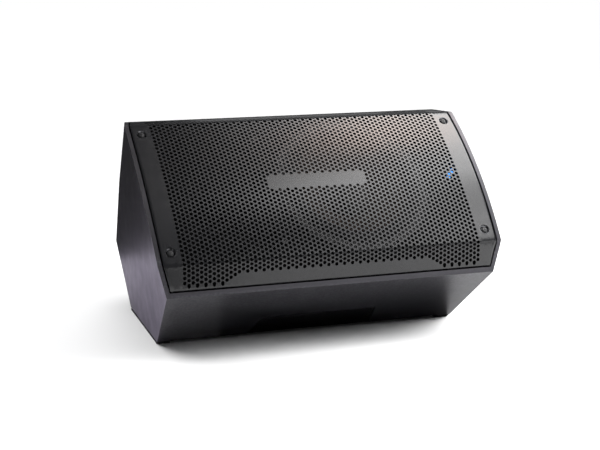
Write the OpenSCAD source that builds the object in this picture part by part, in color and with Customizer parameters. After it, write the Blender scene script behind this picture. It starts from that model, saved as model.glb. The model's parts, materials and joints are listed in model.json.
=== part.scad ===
// Stage monitor wedge: a powered two-way loudspeaker lying on its angled side.
// Units are millimetres. The part stands on its rubber rails at Z = 0, +X runs along its length
// (towards the pole socket), +Y from the front facet to the back, and +Z up.
// Pieces are drawn in the cabinet's own axes, x along its length, u across its front towards the
// resting side, and d back from the crown of the grille, and posed() turns them into the wedge pose.

/* [Cabinet] */
// Half length of the cabinet at the crown of the front
end_half_crown = 226; // [224:1:232]
// Half length where the front facets meet the end panels' taper
end_half_edge = 214.5; // [210:0.5:216]
// Half length at the rear wall
end_half_rear = 187; // [180:1:192]
// Half width of the whole front, from long edge to long edge
front_half = 132.6; // [130:0.2:136]
// Depth at which the facets reach the side walls
edge_depth = 37.4; // [34:0.2:38]
// Radius of the curved front
front_radius = 594.4; // [560:0.4:640]
// Depth of the corner between the lower wall and the resting face
corner_depth = 160; // [156:1:164]
// Distance of that corner from the centre line
corner_side = 119.5; // [118:0.5:121]
// Depth of the rear wall
rear_depth = 297.5; // [295:0.5:300]
// Thickness of the moulded walls
wall_t = 5; // [4.5:0.5:5.5]

/* [Grille] */
// Thickness of the steel sheet
grille_t = 1.5; // [1.2:0.1:1.6]
// Gap between the lip and the grille
grille_gap = 1.5; // [1:0.1:2]
// How far the folded edges reach behind the face
grille_return = 8; // [6:0.5:8.5]
// Screw places from the centre, along the length
grille_screw_x = 206; // [204:1:207]
// Screw places from the centre line, across the front
grille_screw_u = 88; // [84:1:92]

/* [Woofer] */
// Place of the woofer along the length
woofer_x = 52; // [50:1:54]
// Radius of the basket's flange
flange_r = 100; // [98:0.5:101]
// Outer radius of the moving cone
cone_r = 74; // [72:0.5:75]
// Radius of the voice coil
coil_r = 19; // [18:0.5:20]
// Radius of the ferrite magnet
magnet_r = 58; // [50:1:60]

/* [Horn and ports] */
// Place of the horn along the length
horn_x = -127; // [-128:1:-126]
// Height of the horn's mouth, along the cabinet's length
horn_mouth_x = 124; // [116:2:126]
// Width of the horn's mouth, across the front
horn_mouth_u = 176; // [160:2:180]
// Depth of the throat
throat_depth = 100; // [90:1:110]
// Place of the two ports along the length
port_x = 170; // [166:1:172]
// Place of the status light along the length
light_x = 191; // [188:1:193]
// Place of the status light across the front
light_u = -6; // [-8:1:8]
// Distance of each port from the centre line
port_u = 58; // [54:1:62]
// Inner radius of a port
port_r = 18; // [15:0.5:19]

/* [Handle] */
// Half length of the pocket at the surface
pocket_half = 82; // [78:1:84]
// Reach of the pocket along the wall from the corner
pocket_reach = 44; // [42:1:48]
// Width of the ledge at each end of the pocket
pocket_ledge = 12; // [8:1:14]
// Reach of the grip bar along the wall from the corner
grip_reach = 26; // [24:1:27]
// Thickness of the grip bar
grip_t = 13; // [11:0.5:14]
// Depth of the pocket
pocket_deep = 45; // [42:1:46]

/* [Rear panel] */
// Half length of the panel's flange
panel_half = 156; // [154:1:158]
// Width of the panel's flange
panel_w = 90; // [88:1:90]
// Distance of the panel's centre from the centre line, on the side away from the resting face
panel_u = 70; // [69:0.5:71]
// Depth of the recess in which the controls sit
panel_recess = 25; // [22:1:26]
// Sheet thickness of the panel
panel_t = 2; // [1.5:0.5:2]

/* [Fittings] */
// Inner radius of the pole socket, for a 35 mm pole
pole_r = 17.75; // [17.6:0.05:18]
// Depth of the pole socket
pole_depth = 75; // [60:1:78]
// Height of the rubber rails under the cabinet
rail_h = 4.5; // [3:0.5:5]
// Width of the rails
rail_w = 16; // [12:1:20]

/* [Hidden] */
$fn = 64;
fine = 360;      // facets on the large front radius
far = 700;       // longer than any cut needs
slip = 0.2;      // clearance between fitted mouldings
arc_steps = 8;   // pieces of each rounded corner
front_cut = 60;  // depth that clears every piece at the front
panel_cut = [250, 320]; // depths on both sides of the rear panel

// Screw radii
baffle_screw_r = 1.6;
grille_screw_r = 2;
woofer_screw_r = 2.2;
horn_screw_r = 1.8;
rail_screw_r = 1.6;
pole_screw_r = 1.8;
panel_screw_r = 1.5;

// Colours
shell_black = [0.09, 0.09, 0.10];
grille_black = [0.13, 0.13, 0.14];
part_black = [0.05, 0.05, 0.055];
rubber_black = [0.03, 0.03, 0.03];
paper_black = [0.10, 0.09, 0.09];
steel = [0.62, 0.63, 0.65];
dark_steel = [0.2, 0.2, 0.21];
ferrite = [0.16, 0.15, 0.15];
copper = [0.72, 0.42, 0.24];
board_green = [0.05, 0.25, 0.12];
tan_cloth = [0.55, 0.45, 0.28];

// Cabinet section, seen along its length: points are [u, d]
fold_depth = front_radius - sqrt(pow(front_radius, 2) - pow(front_half - edge_depth, 2));
front_flat = front_half - edge_depth;
bend_side = 134;
bend_depth = 165;
rear_upper = 122.8;
rest_sum = corner_side + corner_depth;
rear_lower = rest_sum - rear_depth;
section_points = [[-front_flat, 0], [front_flat, 0], [front_half, edge_depth],
    [corner_side, corner_depth], [rear_lower, rear_depth], [-rear_upper, rear_depth],
    [-bend_side, bend_depth], [-front_half, edge_depth]];
section_radii = [0, 0, 0, 5, 16, 9, 60, 0];
// Cabinet plan, seen across its width: points are [x, d]
end_half_fold = end_half_crown - 1.2;
plan_fold_d = 9.2;
plan_points = [[-end_half_crown, 0], [end_half_crown, 0], [end_half_fold, plan_fold_d],
    [end_half_edge, edge_depth], [end_half_rear, rear_depth], [-end_half_rear, rear_depth],
    [-end_half_edge, edge_depth], [-end_half_fold, plan_fold_d]];
plan_radii = [0, 0, 0, 0, 6, 6, 0, 0];

// Wedge pose: the resting face is turned level, on the rails
lean = 45;
outer_section = rounded(section_points, section_radii);
body_deep = (max([for (p = outer_section) p[1] - p[0]]) + front_flat) / sqrt(2);
origin_y = front_flat / sqrt(2) - body_deep / 2;
origin_z = rest_sum / sqrt(2) + rail_h;

// Depths of the stacked pieces behind the grille
baffle_d = 19.5;
baffle_t = 5;
baffle_facet = 9;
ledge_d = 52;
flange_t = 3;
gasket_t = 1;
flange_d = baffle_d - flange_t - gasket_t;

// Rear panel places: points are [x, u]
panel_face = rear_depth - panel_recess;
panel_back = panel_face - panel_t;
panel_tray_half = panel_half - 8;
panel_tray_w = panel_w - 16;
combo_1 = [-36, -84];
combo_2 = [0, -84];
link_at = [36, -84];
knob_1 = [-36, -52];
knob_2 = [0, -52];
contour_at = [28, -52];
lift_at = [44, -52];
rocker_at = [73, -76];
inlet_at = [114, -76];
board_d = panel_back - 26;
board_t = 1.6;
button_r = 3.5;
shaft_r = 3;
knob_r = 8;
rocker_r = 9.5;
rocker_w = 12;
rocker_tilt = 10;
standoff_places = [for (x = [-134, -55, 56], u = [-101, -39]) [x, u]];

// Handle zone, around the corner of the lower wall and the resting face
draft = atan((front_half - corner_side) / (corner_depth - edge_depth));
handle_turn = (180 + draft + 225) / 2;
pocket_slant = 0.48;
grip_deep = 4;
cup_t = 3;

// Pole socket
pole_u = -8;
pole_d = 190;
pole_wall = 3.2;
pole_flange_r = 32;
pole_flange_t = 3;
pole_x = 193;
pole_screw_ring = 26.5;
pole_screw_turns = [45 : 90 : 315];

function unit(v) = v / norm(v);
function cross2(a, b) = a[0] * b[1] - a[1] * b[0];
function meet(p, r, q, e) = p + r * cross2(q - p, e) / cross2(r, e);
function left_of(v) = [-v[1], v[0]];

// Moves edge i of an anticlockwise outline inwards by gaps[i]
function inset(points, gaps) = let (n = len(points)) [for (i = [0 : n - 1]) let (
    a = points[(i + n - 1) % n], b = points[i], c = points[(i + 1) % n],
    in_dir = unit(b - a), out_dir = unit(c - b))
    meet(a + left_of(in_dir) * gaps[(i + n - 1) % n], in_dir, b + left_of(out_dir) * gaps[i], out_dir)];

// Rounds the convex corners of an anticlockwise outline
function corner_arc(a, p, b, r) = r <= 0 ? [p] : let (
    va = unit(a - p), vb = unit(b - p), half = acos(va * vb) / 2,
    centre = p + unit(va + vb) * r / sin(half), start = p + va * r / tan(half) - centre,
    from = atan2(start[1], start[0]), turn = 180 - 2 * half)
    [for (k = [0 : arc_steps]) let (a = from + turn * k / arc_steps) centre + r * [cos(a), sin(a)]];
function rounded(points, radii) = let (n = len(points)) [for (i = [0 : n - 1])
    each corner_arc(points[(i + n - 1) % n], points[i], points[(i + 1) % n], radii[i])];

module posed() { translate([0, origin_y, origin_z]) rotate([-90 - lean, 0, 0]) children(); }
module along_x(length) { rotate([90, 0, 90]) linear_extrude(length, center = true) children(); }
module along_u(width) { rotate([90, 0, 0]) linear_extrude(width, center = true) children(); }
// A box given by its low and high corners
module span(low, high) { translate(low) cube(high - low); }
module disc(at, from, to, r) { translate([at[0], at[1], from]) cylinder(h = to - from, r = r); }
module ring(at, from, to, r_in, r_out) {
    translate([at[0], at[1], from]) difference() {
        cylinder(h = to - from, r = r_out);
        translate([0, 0, -1]) cylinder(h = to - from + 2, r = r_in);
    }
}

// The cabinet's outer form, with each face moved inwards by its own gap
module section(front, facet, wall, rest, rear, upper) {
    polygon(inset(section_points, [front, facet, wall, rest, rear, upper, upper, facet]));
}
module plan(ends) {
    polygon(inset(plan_points, [-1, ends, ends, ends, -9, ends, ends, ends]));
}
module enclosure(front = 0, facet = 0, wall = 0, rest = 0, rear = 0, upper = 0, ends = 0) {
    intersection() {
        along_x(far) section(front, facet, wall, rest, rear, upper);
        along_u(far) plan(ends);
        if (front >= 0 && front < fold_depth)
            translate([0, 0, front_radius]) rotate([0, 90, 0])
                cylinder(h = far, r = front_radius - front, center = true, $fn = fine);
    }
}
module outer_form() {
    intersection() {
        along_x(far) polygon(outer_section);
        along_u(far) polygon(rounded(plan_points, plan_radii));
        translate([0, 0, front_radius]) rotate([0, 90, 0])
            cylinder(h = far, r = front_radius, center = true, $fn = fine);
    }
}

// Screws on a rim, as [x, u] places
rim_low = front_half - 9.8;
rim_up = front_half - 8;
rim_end = end_half_edge - 10;
baffle_screw_places = concat([for (x = [-150, -50, 50, 150]) [x, rim_low]],
    [for (x = [-150, -50, 50, 150]) [x, -rim_up]], [for (s = [-1, 1], u = [-62, 62]) [s * rim_end, u]]);
grille_screw_places = [for (sx = [-1, 1], su = [-1, 1]) [sx * grille_screw_x, su * grille_screw_u]];
grille_screw_d = front_radius - sqrt(pow(front_radius, 2) - pow(grille_screw_u, 2));

// Rubber rail under each end
module rail_shape(top) {
    difference() {
        enclosure(rest = -rail_h, wall = 0.3, ends = 0.5);
        along_x(far) section(-9, -9, -9, top, -9, -9);
        along_u(far) plan(0.5 + rail_w);
        along_x(far) polygon([[-300, -60], [21.8, 261.8], [-300, 583.6]]);
    }
}

module shell_wall() {
    difference() {
        outer_form();
        enclosure(front = -9, facet = -9, wall = wall_t, rest = wall_t, rear = wall_t, upper = wall_t,
                  ends = wall_t);
    }
    // ledge behind the baffle
    intersection() {
        difference() {
            enclosure(wall = 3, rest = 3, rear = 3, upper = 3, ends = 3);
            enclosure(front = -9, facet = -9, wall = 13, rest = -9, rear = -9, upper = 13, ends = 15);
        }
        span([-far, -far, ledge_d], [far, far, ledge_d + 5]);
    }
    // frame around the rear panel and boss around the pole socket
    intersection() {
        span([-panel_half - 5, -panel_u - panel_w / 2 - 3, rear_depth - 9],
             [panel_half + 5, -panel_u + panel_w / 2 + 3, rear_depth]);
        enclosure(wall = 2, rest = 2, rear = 2, upper = 2, ends = 2);
    }
    intersection() {
        at_pole(-pole_flange_t - 5) cylinder(h = 40, r = pole_flange_r + 4);
        enclosure(wall = 2, rest = 2, rear = 2, upper = 2, ends = 2);
    }
}

module cabinet_shell() {
    color(shell_black) posed() difference() {
        shell_wall();
        pocket(-2, cup_t);
        rail_shape(rail_sunk);
        rail_holes();
        // panel opening and the rebate of its flange
        span([-panel_tray_half - 0.5, -panel_u - panel_tray_w / 2 - 0.5, rear_depth - 12],
             [panel_tray_half + 0.5, -panel_u + panel_tray_w / 2 + 0.5, rear_depth + 5]);
        span([-panel_half - 0.3, -panel_u - panel_w / 2 - 0.3, rear_depth - 3],
             [panel_half + 0.3, -panel_u + panel_w / 2 + 0.3, rear_depth + 5]);
        for (p = panel_screw_places) disc(p, rear_depth - 8, rear_depth, panel_screw_r);
        for (p = baffle_screw_places) disc(p, ledge_d - 1, ledge_d + 6, baffle_screw_r);
        // pole socket recess and hole
        at_pole(-pole_flange_t) cylinder(h = 40, r = pole_flange_r + slip);
        at_pole(-40) cylinder(h = 80, r = pole_r + pole_wall);
        for (a = pole_screw_turns) at_pole_screw(a) cylinder(h = 8, r = pole_screw_r);
    }
}

module front_baffle() {
    color(part_black) posed() difference() {
        union() {
            difference() {
                enclosure(front = baffle_d, facet = baffle_facet, wall = wall_t + slip, upper = wall_t + slip,
                          ends = wall_t + slip);
                enclosure(front = baffle_d + baffle_t, facet = baffle_facet + baffle_t,
                          wall = wall_t + slip + baffle_t, upper = wall_t + slip + baffle_t,
                          ends = wall_t + slip + baffle_t);
                span([-far, -far, ledge_d], [far, far, far]);
            }
            for (p = grille_screw_places) disc(p, grille_screw_d + grille_t + 2.2, baffle_d + 1, 7.5);
        }
        disc([woofer_x, 0], 0, front_cut, flange_r - 9);
        mouth_slab(3, 0, front_cut);
        for (s = [-1, 1]) disc([port_x, s * port_u], 0, front_cut, port_r + port_t);
        disc([light_x, light_u], 0, front_cut, light_r);
        for (p = grille_screw_places) disc(p, 0, front_cut, grille_screw_r);
        for (p = baffle_screw_places) disc(p, ledge_d - 5, ledge_d + 1, baffle_screw_r);
        for (p = woofer_screw_places) disc(p, 0, front_cut, woofer_screw_r);
        for (p = horn_screw_places) disc(p, 0, front_cut, horn_screw_r);
    }
}

module baffle_screws() {
    color(steel) posed() for (p = baffle_screw_places) {
        disc(p, ledge_d - 5, ledge_d + 5, baffle_screw_r);
        disc(p, ledge_d + 5, ledge_d + 7, 2.6);
    }
}

module grille() {
    edge = wall_t + grille_gap;
    color(grille_black) posed() difference() {
        enclosure(wall = edge, rest = edge, upper = edge, ends = edge);
        enclosure(front = grille_t, facet = grille_t, wall = edge + grille_t, upper = edge + grille_t,
                  ends = edge + grille_t);
        enclosure(front = grille_return, facet = grille_return, ends = -9, wall = -9, upper = -9);
        for (p = grille_screw_places) disc(p, -2, front_cut, cup_rim_r + 0.1);
    }
}

cup_rim_r = 6.5;
module screw_cups() {
    color(dark_steel) posed() for (p = grille_screw_places) translate([p[0], p[1], grille_screw_d])
        rotate_extrude()
            polygon([[2.2, 3.7], [2.2, 2.4], [4.2, 2.4], [6, 0.4], [cup_rim_r, 0.4], [cup_rim_r, 3.7]]);
}

module grille_screws() {
    color(part_black) posed() for (p = grille_screw_places) difference() {
        union() {
            disc(p, grille_screw_d + 2.4, grille_screw_d + 16, grille_screw_r);
            translate([p[0], p[1], grille_screw_d]) rotate_extrude()
                polygon([[0, 2.4], [4, 2.4], [3.8, 1.2], [2.6, 0.2], [0, 0]]);
        }
        translate([p[0], p[1], grille_screw_d - 1])
            for (a = [0, 90]) rotate([0, 0, a]) span([-1.7, -0.4, 0], [1.7, 0.4, 2.6]);
    }
}

// Woofer
screw_ring = flange_r - 5;
woofer_screw_places = [for (a = [22.5 : 45 : 340]) [woofer_x + screw_ring * cos(a), screw_ring * sin(a)]];
module at_woofer() { translate([woofer_x, 0, 0]) children(); }
cone_back = 50;
plate_d = 80;
magnet_d = plate_d + 6;
magnet_t = 18;

module woofer_gasket() {
    color(rubber_black) posed() difference() {
        ring([woofer_x, 0], baffle_d - gasket_t, baffle_d, flange_r - 9, flange_r);
        for (p = woofer_screw_places) disc(p, 0, front_cut, woofer_screw_r);
    }
}

module woofer_basket() {
    color(dark_steel) posed() difference() {
        at_woofer() rotate_extrude($fn = 96) polygon([[88, flange_d], [flange_r, flange_d],
            [flange_r, flange_d + flange_t], [flange_r - 10, flange_d + flange_t], [82, 34], [54, 70],
            [54, plate_d], [30, plate_d], [30, plate_d - 3], [51, plate_d - 3], [51, 69], [79.5, 33],
            [88, flange_d + 2]]);
        at_woofer() for (a = [0 : 60 : 300]) rotate([0, 0, a]) span([55, -22, 38], [120, 22, 66]);
        for (p = woofer_screw_places) disc(p, 0, front_cut, woofer_screw_r);
    }
}

module woofer_surround() {
    roll = 6.3;
    mid = cone_r + roll + 0.7;
    color(rubber_black) posed() at_woofer() rotate_extrude($fn = 96) difference() {
        union() {
            translate([mid, flange_d]) circle(r = roll);
            translate([cone_r - 1.5, flange_d - 0.9]) square([2 * roll + 4, 0.9]);
            translate([mid, flange_d - 0.9]) square([87.6 - mid, 0.9]);
        }
        translate([mid, flange_d]) circle(r = roll - 0.9);
        translate([cone_r - 3, flange_d]) square([20, 20]);
    }
}

module woofer_cone() {
    color(paper_black) posed() at_woofer() rotate_extrude($fn = 96)
        polygon([[cone_r, flange_d + 0.05], [cone_r, flange_d + 1.1], [cone_r - 2, flange_d + 1.6],
                 [46, 34.5], [coil_r + 1, cone_back + 1.2], [coil_r + 1, cone_back], [46, 33],
                 [cone_r - 2, flange_d + 0.05]]);
}

module woofer_dust_cap() {
    cap_r = 30;
    color(part_black) posed() at_woofer() translate([0, 0, cone_back - 2]) difference() {
        sphere(r = cap_r);
        sphere(r = cap_r - 1);
        span([-40, -40, -7.55], [40, 40, 40]);
        rotate_extrude() polygon([[28.2, -9], [40, -20], [40, 2], [20, 2]]);
    }
}

module woofer_voice_coil() {
    color(copper) posed() ring([woofer_x, 0], cone_back - 3, plate_d + 10, coil_r, coil_r + 1);
}

module woofer_spider() {
    inner = coil_r + 1.05;
    outer = 50.95;
    color(tan_cloth) posed() at_woofer() rotate_extrude($fn = 96)
        polygon(concat([for (r = [inner : 2 : outer]) [r, 64 + 1.2 * sin(r * 60)]],
                       [for (r = [outer : -2 : inner]) [r, 64.8 + 1.2 * sin(r * 60)]]));
}

module woofer_top_plate() {
    color(steel) posed() ring([woofer_x, 0], plate_d, magnet_d, coil_r + 1.6, 48);
}
module woofer_magnet() {
    color(ferrite) posed() ring([woofer_x, 0], magnet_d, magnet_d + magnet_t, 26, magnet_r);
}
module woofer_back_plate() {
    color(steel) posed() {
        ring([woofer_x, 0], magnet_d + magnet_t, magnet_d + magnet_t + 6, 5, 50);
        ring([woofer_x, 0], plate_d, magnet_d + magnet_t, 5, coil_r - 0.6);
    }
}
module woofer_screws() {
    color(dark_steel) posed() for (p = woofer_screw_places) {
        disc(p, flange_d, baffle_d + 12, woofer_screw_r);
        difference() {
            disc(p, flange_d - 2.4, flange_d, 4);
            disc(p, flange_d - 3, flange_d - 1, 2);
        }
    }
}

// Horn
horn_flange_t = 2;
throat_r = 12.7;
driver_flange_r = 36;
horn_screw_places = [for (sx = [-1, 1], u = [-78, 0, 78]) [horn_x + sx * (horn_mouth_x / 2 + 5.2), u]];
module mouth_slab(grow, from, to) {
    translate([horn_x, 0, from]) linear_extrude(to - from)
        square([horn_mouth_x + 2 * grow, horn_mouth_u + 2 * grow], center = true);
}
module horn_flare() {
    color(part_black) posed() difference() {
        union() {
            mouth_slab(8, baffle_d - horn_flange_t, baffle_d);
            mouth_slab(3, baffle_d, baffle_d + 6);
            hull() {
                mouth_slab(3, baffle_d + 5, baffle_d + 6);
                disc([horn_x, 0], 55, 56, 32);
            }
            hull() {
                disc([horn_x, 0], 55, 56, 32);
                disc([horn_x, 0], throat_depth - 5, throat_depth, 17);
            }
            disc([horn_x, 0], throat_depth - 5, throat_depth, driver_flange_r);
        }
        hull() {
            mouth_slab(0, baffle_d - 3, baffle_d - 2.9);
            disc([horn_x, 0], 55, 56, 28);
        }
        hull() {
            disc([horn_x, 0], 55, 56, 28);
            disc([horn_x, 0], throat_depth, throat_depth + 1, throat_r);
        }
        for (p = horn_screw_places) disc(p, 0, baffle_d, horn_screw_r);
        for (a = [0 : 90 : 270]) at_driver_screw(a) cylinder(h = 60, r = horn_screw_r);
    }
}
// Places a driver screw at an angle around the throat, from in front of its flange
module at_driver_screw(a) {
    translate([horn_x + 28 * cos(a), 28 * sin(a), throat_depth - 8]) children();
}
module horn_screws() {
    color(dark_steel) posed() for (p = horn_screw_places) {
        disc(p, baffle_d - horn_flange_t, baffle_d + 10, horn_screw_r);
        disc(p, baffle_d - horn_flange_t - 2, baffle_d - horn_flange_t, 3.4);
    }
}
module compression_driver() {
    color(ferrite) posed() difference() {
        translate([horn_x, 0, throat_depth]) rotate_extrude()
            polygon([[throat_r, 0], [driver_flange_r, 0], [driver_flange_r, 5], [42, 9], [42, 32], [39, 35],
                     [39, 44], [36, 47], [0, 47], [0, 30]]);
        for (a = [0 : 90 : 270]) at_driver_screw(a) cylinder(h = 20, r = horn_screw_r);
    }
}
module driver_screws() {
    color(steel) posed() for (a = [0 : 90 : 270]) at_driver_screw(a) {
        translate([0, 0, 3]) cylinder(h = 17, r = horn_screw_r);
        translate([0, 0, 0.6]) cylinder(h = 2.4, r = 3.2);
    }
}

port_t = 2.5;
module port_tubes() {
    flare = 110;
    back = flare + 6;
    color(part_black) posed() for (s = [-1, 1]) translate([port_x, s * port_u, 0]) rotate_extrude()
        polygon([[port_r + 3, baffle_d - 2], [port_r + 6, baffle_d - 2], [port_r + 6, baffle_d],
                 [port_r + port_t, baffle_d], [port_r + port_t, flare], [port_r + 4, back],
                 [port_r + 2, back], [port_r, flare], [port_r, baffle_d + 3], [port_r + 1, baffle_d]]);
}

light_r = 2.6;
module status_light() {
    light_front = 6;
    color([0.2, 0.5, 1]) posed() {
        disc([light_x, light_u], light_front, baffle_d + baffle_t, light_r);
        translate([light_x, light_u, light_front]) sphere(r = light_r);
    }
}
module light_board() {
    color(board_green) posed() translate([light_x, light_u, baffle_d + baffle_t])
        span([-9, -12, 0], [9, 12, board_t]);
}

// Handle: a band of the corner between two depths below the surface, with slanted ends
module handle_zone(top, bottom, reach, half) {
    from = corner_depth - reach;
    line = corner_depth - corner_side + reach * sqrt(2);
    outside = 20 * pocket_slant;
    inside = 70 * pocket_slant;
    intersection() {
        along_x(far) difference() {
            section(top, top, top, top, top, top);
            section(bottom, bottom, bottom, bottom, bottom, bottom);
        }
        along_x(far) polygon([[from - line, from], [300, from], [300, 300 + line]]);
        translate([0, corner_side, corner_depth]) rotate([handle_turn, 0, 0])
            linear_extrude(far, center = true)
                polygon([[-half - outside, -20], [half + outside, -20], [half - inside, 70],
                         [inside - half, 70]]);
    }
}
// The pocket, a deep middle with a shallow ledge at each end, grown by the thickness of its cup
module pocket(top, grow) {
    handle_zone(top, pocket_deep + grow, pocket_reach + grow, pocket_half - pocket_ledge + grow);
    handle_zone(top, grip_deep + grow, pocket_reach + grow, pocket_half + grow);
}
module handle_cup() {
    color(part_black) posed() difference() {
        pocket(0.3, cup_t);
        pocket(-2, 0);
    }
}
module handle_grip() {
    color(rubber_black) posed()
        handle_zone(grip_deep, grip_deep + grip_t, grip_reach, pocket_half - pocket_ledge);
}

// Rails and their screws: k counts along the rail, and z runs out of the resting face
rail_sunk = 1.5;
rail_head_t = 1.2;
rail_screw_places = [for (side = [-1, 1], k = [0 : 2]) [side, k]];
module at_rail_screw(at) {
    place = (14 + 60 * at[1]) / sqrt(2);
    d = corner_depth + place;
    taper = (end_half_edge - end_half_rear) / (rear_depth - edge_depth);
    x = end_half_edge - (d - edge_depth) * taper - 0.5 - rail_w / 2;
    translate([at[0] * x, corner_side - place, d]) rotate([-lean, 0, 0]) children();
}
module rail_holes() {
    for (p = rail_screw_places) at_rail_screw(p) {
        translate([0, 0, -8]) cylinder(h = 8 + rail_h, r = rail_screw_r);
        translate([0, 0, rail_h - 2 * rail_head_t]) cylinder(h = 5, r = 2 * rail_screw_r);
    }
}
module floor_rails() {
    color(rubber_black) posed() difference() {
        rail_shape(rail_sunk);
        rail_holes();
    }
}
module rail_screws() {
    color(steel) posed() for (p = rail_screw_places) at_rail_screw(p) {
        translate([0, 0, -8]) cylinder(h = 8 + rail_h - 1.5 * rail_head_t, r = rail_screw_r);
        translate([0, 0, rail_h - 2 * rail_head_t]) cylinder(h = rail_head_t, r = 2 * rail_screw_r);
    }
}

// Pole socket, with z running out of the end panel
module at_pole(from) { translate([pole_x + from, pole_u, pole_d]) rotate([0, 90, 0]) children(); }
module at_pole_screw(a) {
    at_pole(-pole_flange_t) rotate([0, 0, a]) translate([pole_screw_ring, 0, -5]) children();
}
module pole_socket() {
    color(part_black) posed() difference() {
        union() {
            at_pole(-pole_flange_t) cylinder(h = pole_flange_t, r = pole_flange_r);
            at_pole(-pole_depth - 3) cylinder(h = pole_depth + 3, r = pole_r + pole_wall);
        }
        at_pole(-pole_depth) cylinder(h = pole_depth + 9, r = pole_r);
        for (a = pole_screw_turns) at_pole_screw(a) cylinder(h = 9, r = pole_screw_r);
    }
}
module pole_socket_screws() {
    color(steel) posed() for (a = pole_screw_turns) at_pole_screw(a) {
        cylinder(h = 8, r = pole_screw_r);
        translate([0, 0, 8]) cylinder(h = 2.2, r = 3.4);
    }
}

// Rear panel
lights_x = [-24, -18, -12];
panel_screw_places = [for (x = [-panel_half + 4, -52, 52, panel_half - 4], s = [-1, 1])
    [x, -panel_u + s * (panel_w / 2 - 4)]];
module through_panel(p, r) { disc(p, panel_cut[0], panel_cut[1], r); }
module amp_panel() {
    low = -panel_u - panel_tray_w / 2;
    high = -panel_u + panel_tray_w / 2;
    color(dark_steel) posed() difference() {
        union() {
            span([-panel_half, -panel_u - panel_w / 2, rear_depth - panel_t],
                 [panel_half, -panel_u + panel_w / 2, rear_depth]);
            span([-panel_tray_half, low, panel_back], [panel_tray_half, high, rear_depth - 1]);
        }
        span([-panel_tray_half + panel_t, low + panel_t, panel_face],
             [panel_tray_half - panel_t, high - panel_t, far]);
        for (p = panel_screw_places) through_panel(p, panel_screw_r + slip);
        for (p = [combo_1, combo_2, link_at]) through_panel(p, 12);
        for (p = [knob_1, knob_2]) through_panel(p, 3.8);
        for (p = [contour_at, lift_at]) through_panel(p, 5);
        for (x = lights_x) through_panel([x, knob_1[1]], panel_light_r);
        for (p = standoff_places) through_panel(p, 1.5);
        translate([rocker_at[0], rocker_at[1], 0]) span([-9, -13.5, panel_cut[0]], [9, 13.5, panel_cut[1]]);
        translate([inlet_at[0], inlet_at[1], 0]) span([-14, -16, panel_cut[0]], [14, 25, panel_cut[1]]);
        for (p = [combo_1, combo_2])
            translate([p[0], p[1], 0]) span([-4, 12.5, panel_cut[0]], [4, 14.8, panel_cut[1]]);
    }
}
module panel_gasket() {
    color(rubber_black) posed() difference() {
        span([-panel_half, -panel_u - panel_w / 2, rear_depth - panel_t - gasket_t],
             [panel_half, -panel_u + panel_w / 2, rear_depth - panel_t]);
        span([-panel_tray_half - 0.5, -panel_u - panel_tray_w / 2 - 0.5, panel_cut[0]],
             [panel_tray_half + 0.5, -panel_u + panel_tray_w / 2 + 0.5, panel_cut[1]]);
        for (p = panel_screw_places) through_panel(p, panel_screw_r + slip);
    }
}
module panel_screws() {
    color(steel) posed() for (p = panel_screw_places) {
        disc(p, rear_depth - 8, rear_depth, panel_screw_r);
        translate([p[0], p[1], rear_depth]) difference() {
            rotate_extrude() polygon([[0, 0], [3.2, 0], [2.8, 1.2], [1.4, 1.8], [0, 1.8]]);
            for (a = [0, 90]) rotate([0, 0, a]) span([-1.6, -0.35, 1], [1.6, 0.35, 4]);
        }
    }
}
module heat_sink() {
    fins = 13;
    low = -panel_u - panel_tray_w / 2 + 6;
    high = -panel_u + panel_tray_w / 2 - 6;
    left = -127;
    right = -60;
    fin_t = 2;
    color(part_black) posed() {
        span([left, low, panel_face], [right, high, panel_face + 3]);
        for (k = [0 : fins - 1]) let (x = left + k * (right - left - fin_t) / (fins - 1))
            span([x, low, panel_face + 3], [x + fin_t, high, panel_face + 18]);
    }
}
module amp_board() {
    chip_h = 3;
    color(board_green) posed() {
        difference() {
            span([-140, -106, board_d], [62, -34, board_d + board_t]);
            for (p = standoff_places) disc(p, board_d - 1, board_d + board_t + 1, 1.5);
        }
        for (x = [-120 : 24 : 40]) span([x - 6, -78, board_d - chip_h], [x + 6, -66, board_d]);
    }
}
module power_board() { color(board_green) posed() span([68, -106, board_d], [144, -34, board_d + board_t]); }
module transformer() {
    color([0.35, 0.3, 0.12]) posed() {
        span([74, -100, board_d - 26], [104, -66, board_d]);
        span([70, -94, board_d - 22], [74, -72, board_d - 4]);
        span([104, -94, board_d - 22], [108, -72, board_d - 4]);
    }
}
module capacitors() {
    places = [[122, -92], [122, -70], [78, -48], [98, -48], [-20, -96], [0, -96]];
    color([0.12, 0.16, 0.3]) posed() for (p = places) disc(p, board_d - 24, board_d, 8);
}
module standoffs() {
    color(steel) posed() for (p = standoff_places) {
        disc(p, board_d, panel_face + 0.6, 1.5);
        disc(p, board_d + board_t, panel_back, 3);
        disc(p, panel_face, panel_face + 1.6, 2.8);
        disc(p, board_d - 1.8, board_d, 2.8);
    }
}

// A combined microphone and jack socket, with its round body behind the panel
module combo_socket(at) {
    translate([at[0], at[1], 0]) difference() {
        union() {
            span([-13, -15.5, panel_face], [13, 15.5, panel_face + 2]);
            translate([0, 0, panel_back - 22]) cylinder(h = panel_t + 22, r = 11.8);
            translate([0, 0, panel_face + 2]) cylinder(h = 1, r = 11.5);
        }
        difference() {
            translate([0, 0, panel_back - 14]) cylinder(h = 40, r = 9.6);
            translate([0, 0, panel_back - 20]) cylinder(h = 18, r = 6);
        }
        translate([0, 0, panel_back - 20]) cylinder(h = 40, r = 3.3);
        span([-3.6, 12.6, panel_face - 1], [3.6, 14.6, panel_face + 9]);
        for (s = [-1, 1]) translate([s * 10, -s * 12.5, panel_face - 3]) cylinder(h = 9, r = 1.6);
    }
}
module combo_socket_1() { color(part_black) posed() combo_socket(combo_1); }
module combo_socket_2() { color(part_black) posed() combo_socket(combo_2); }
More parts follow.
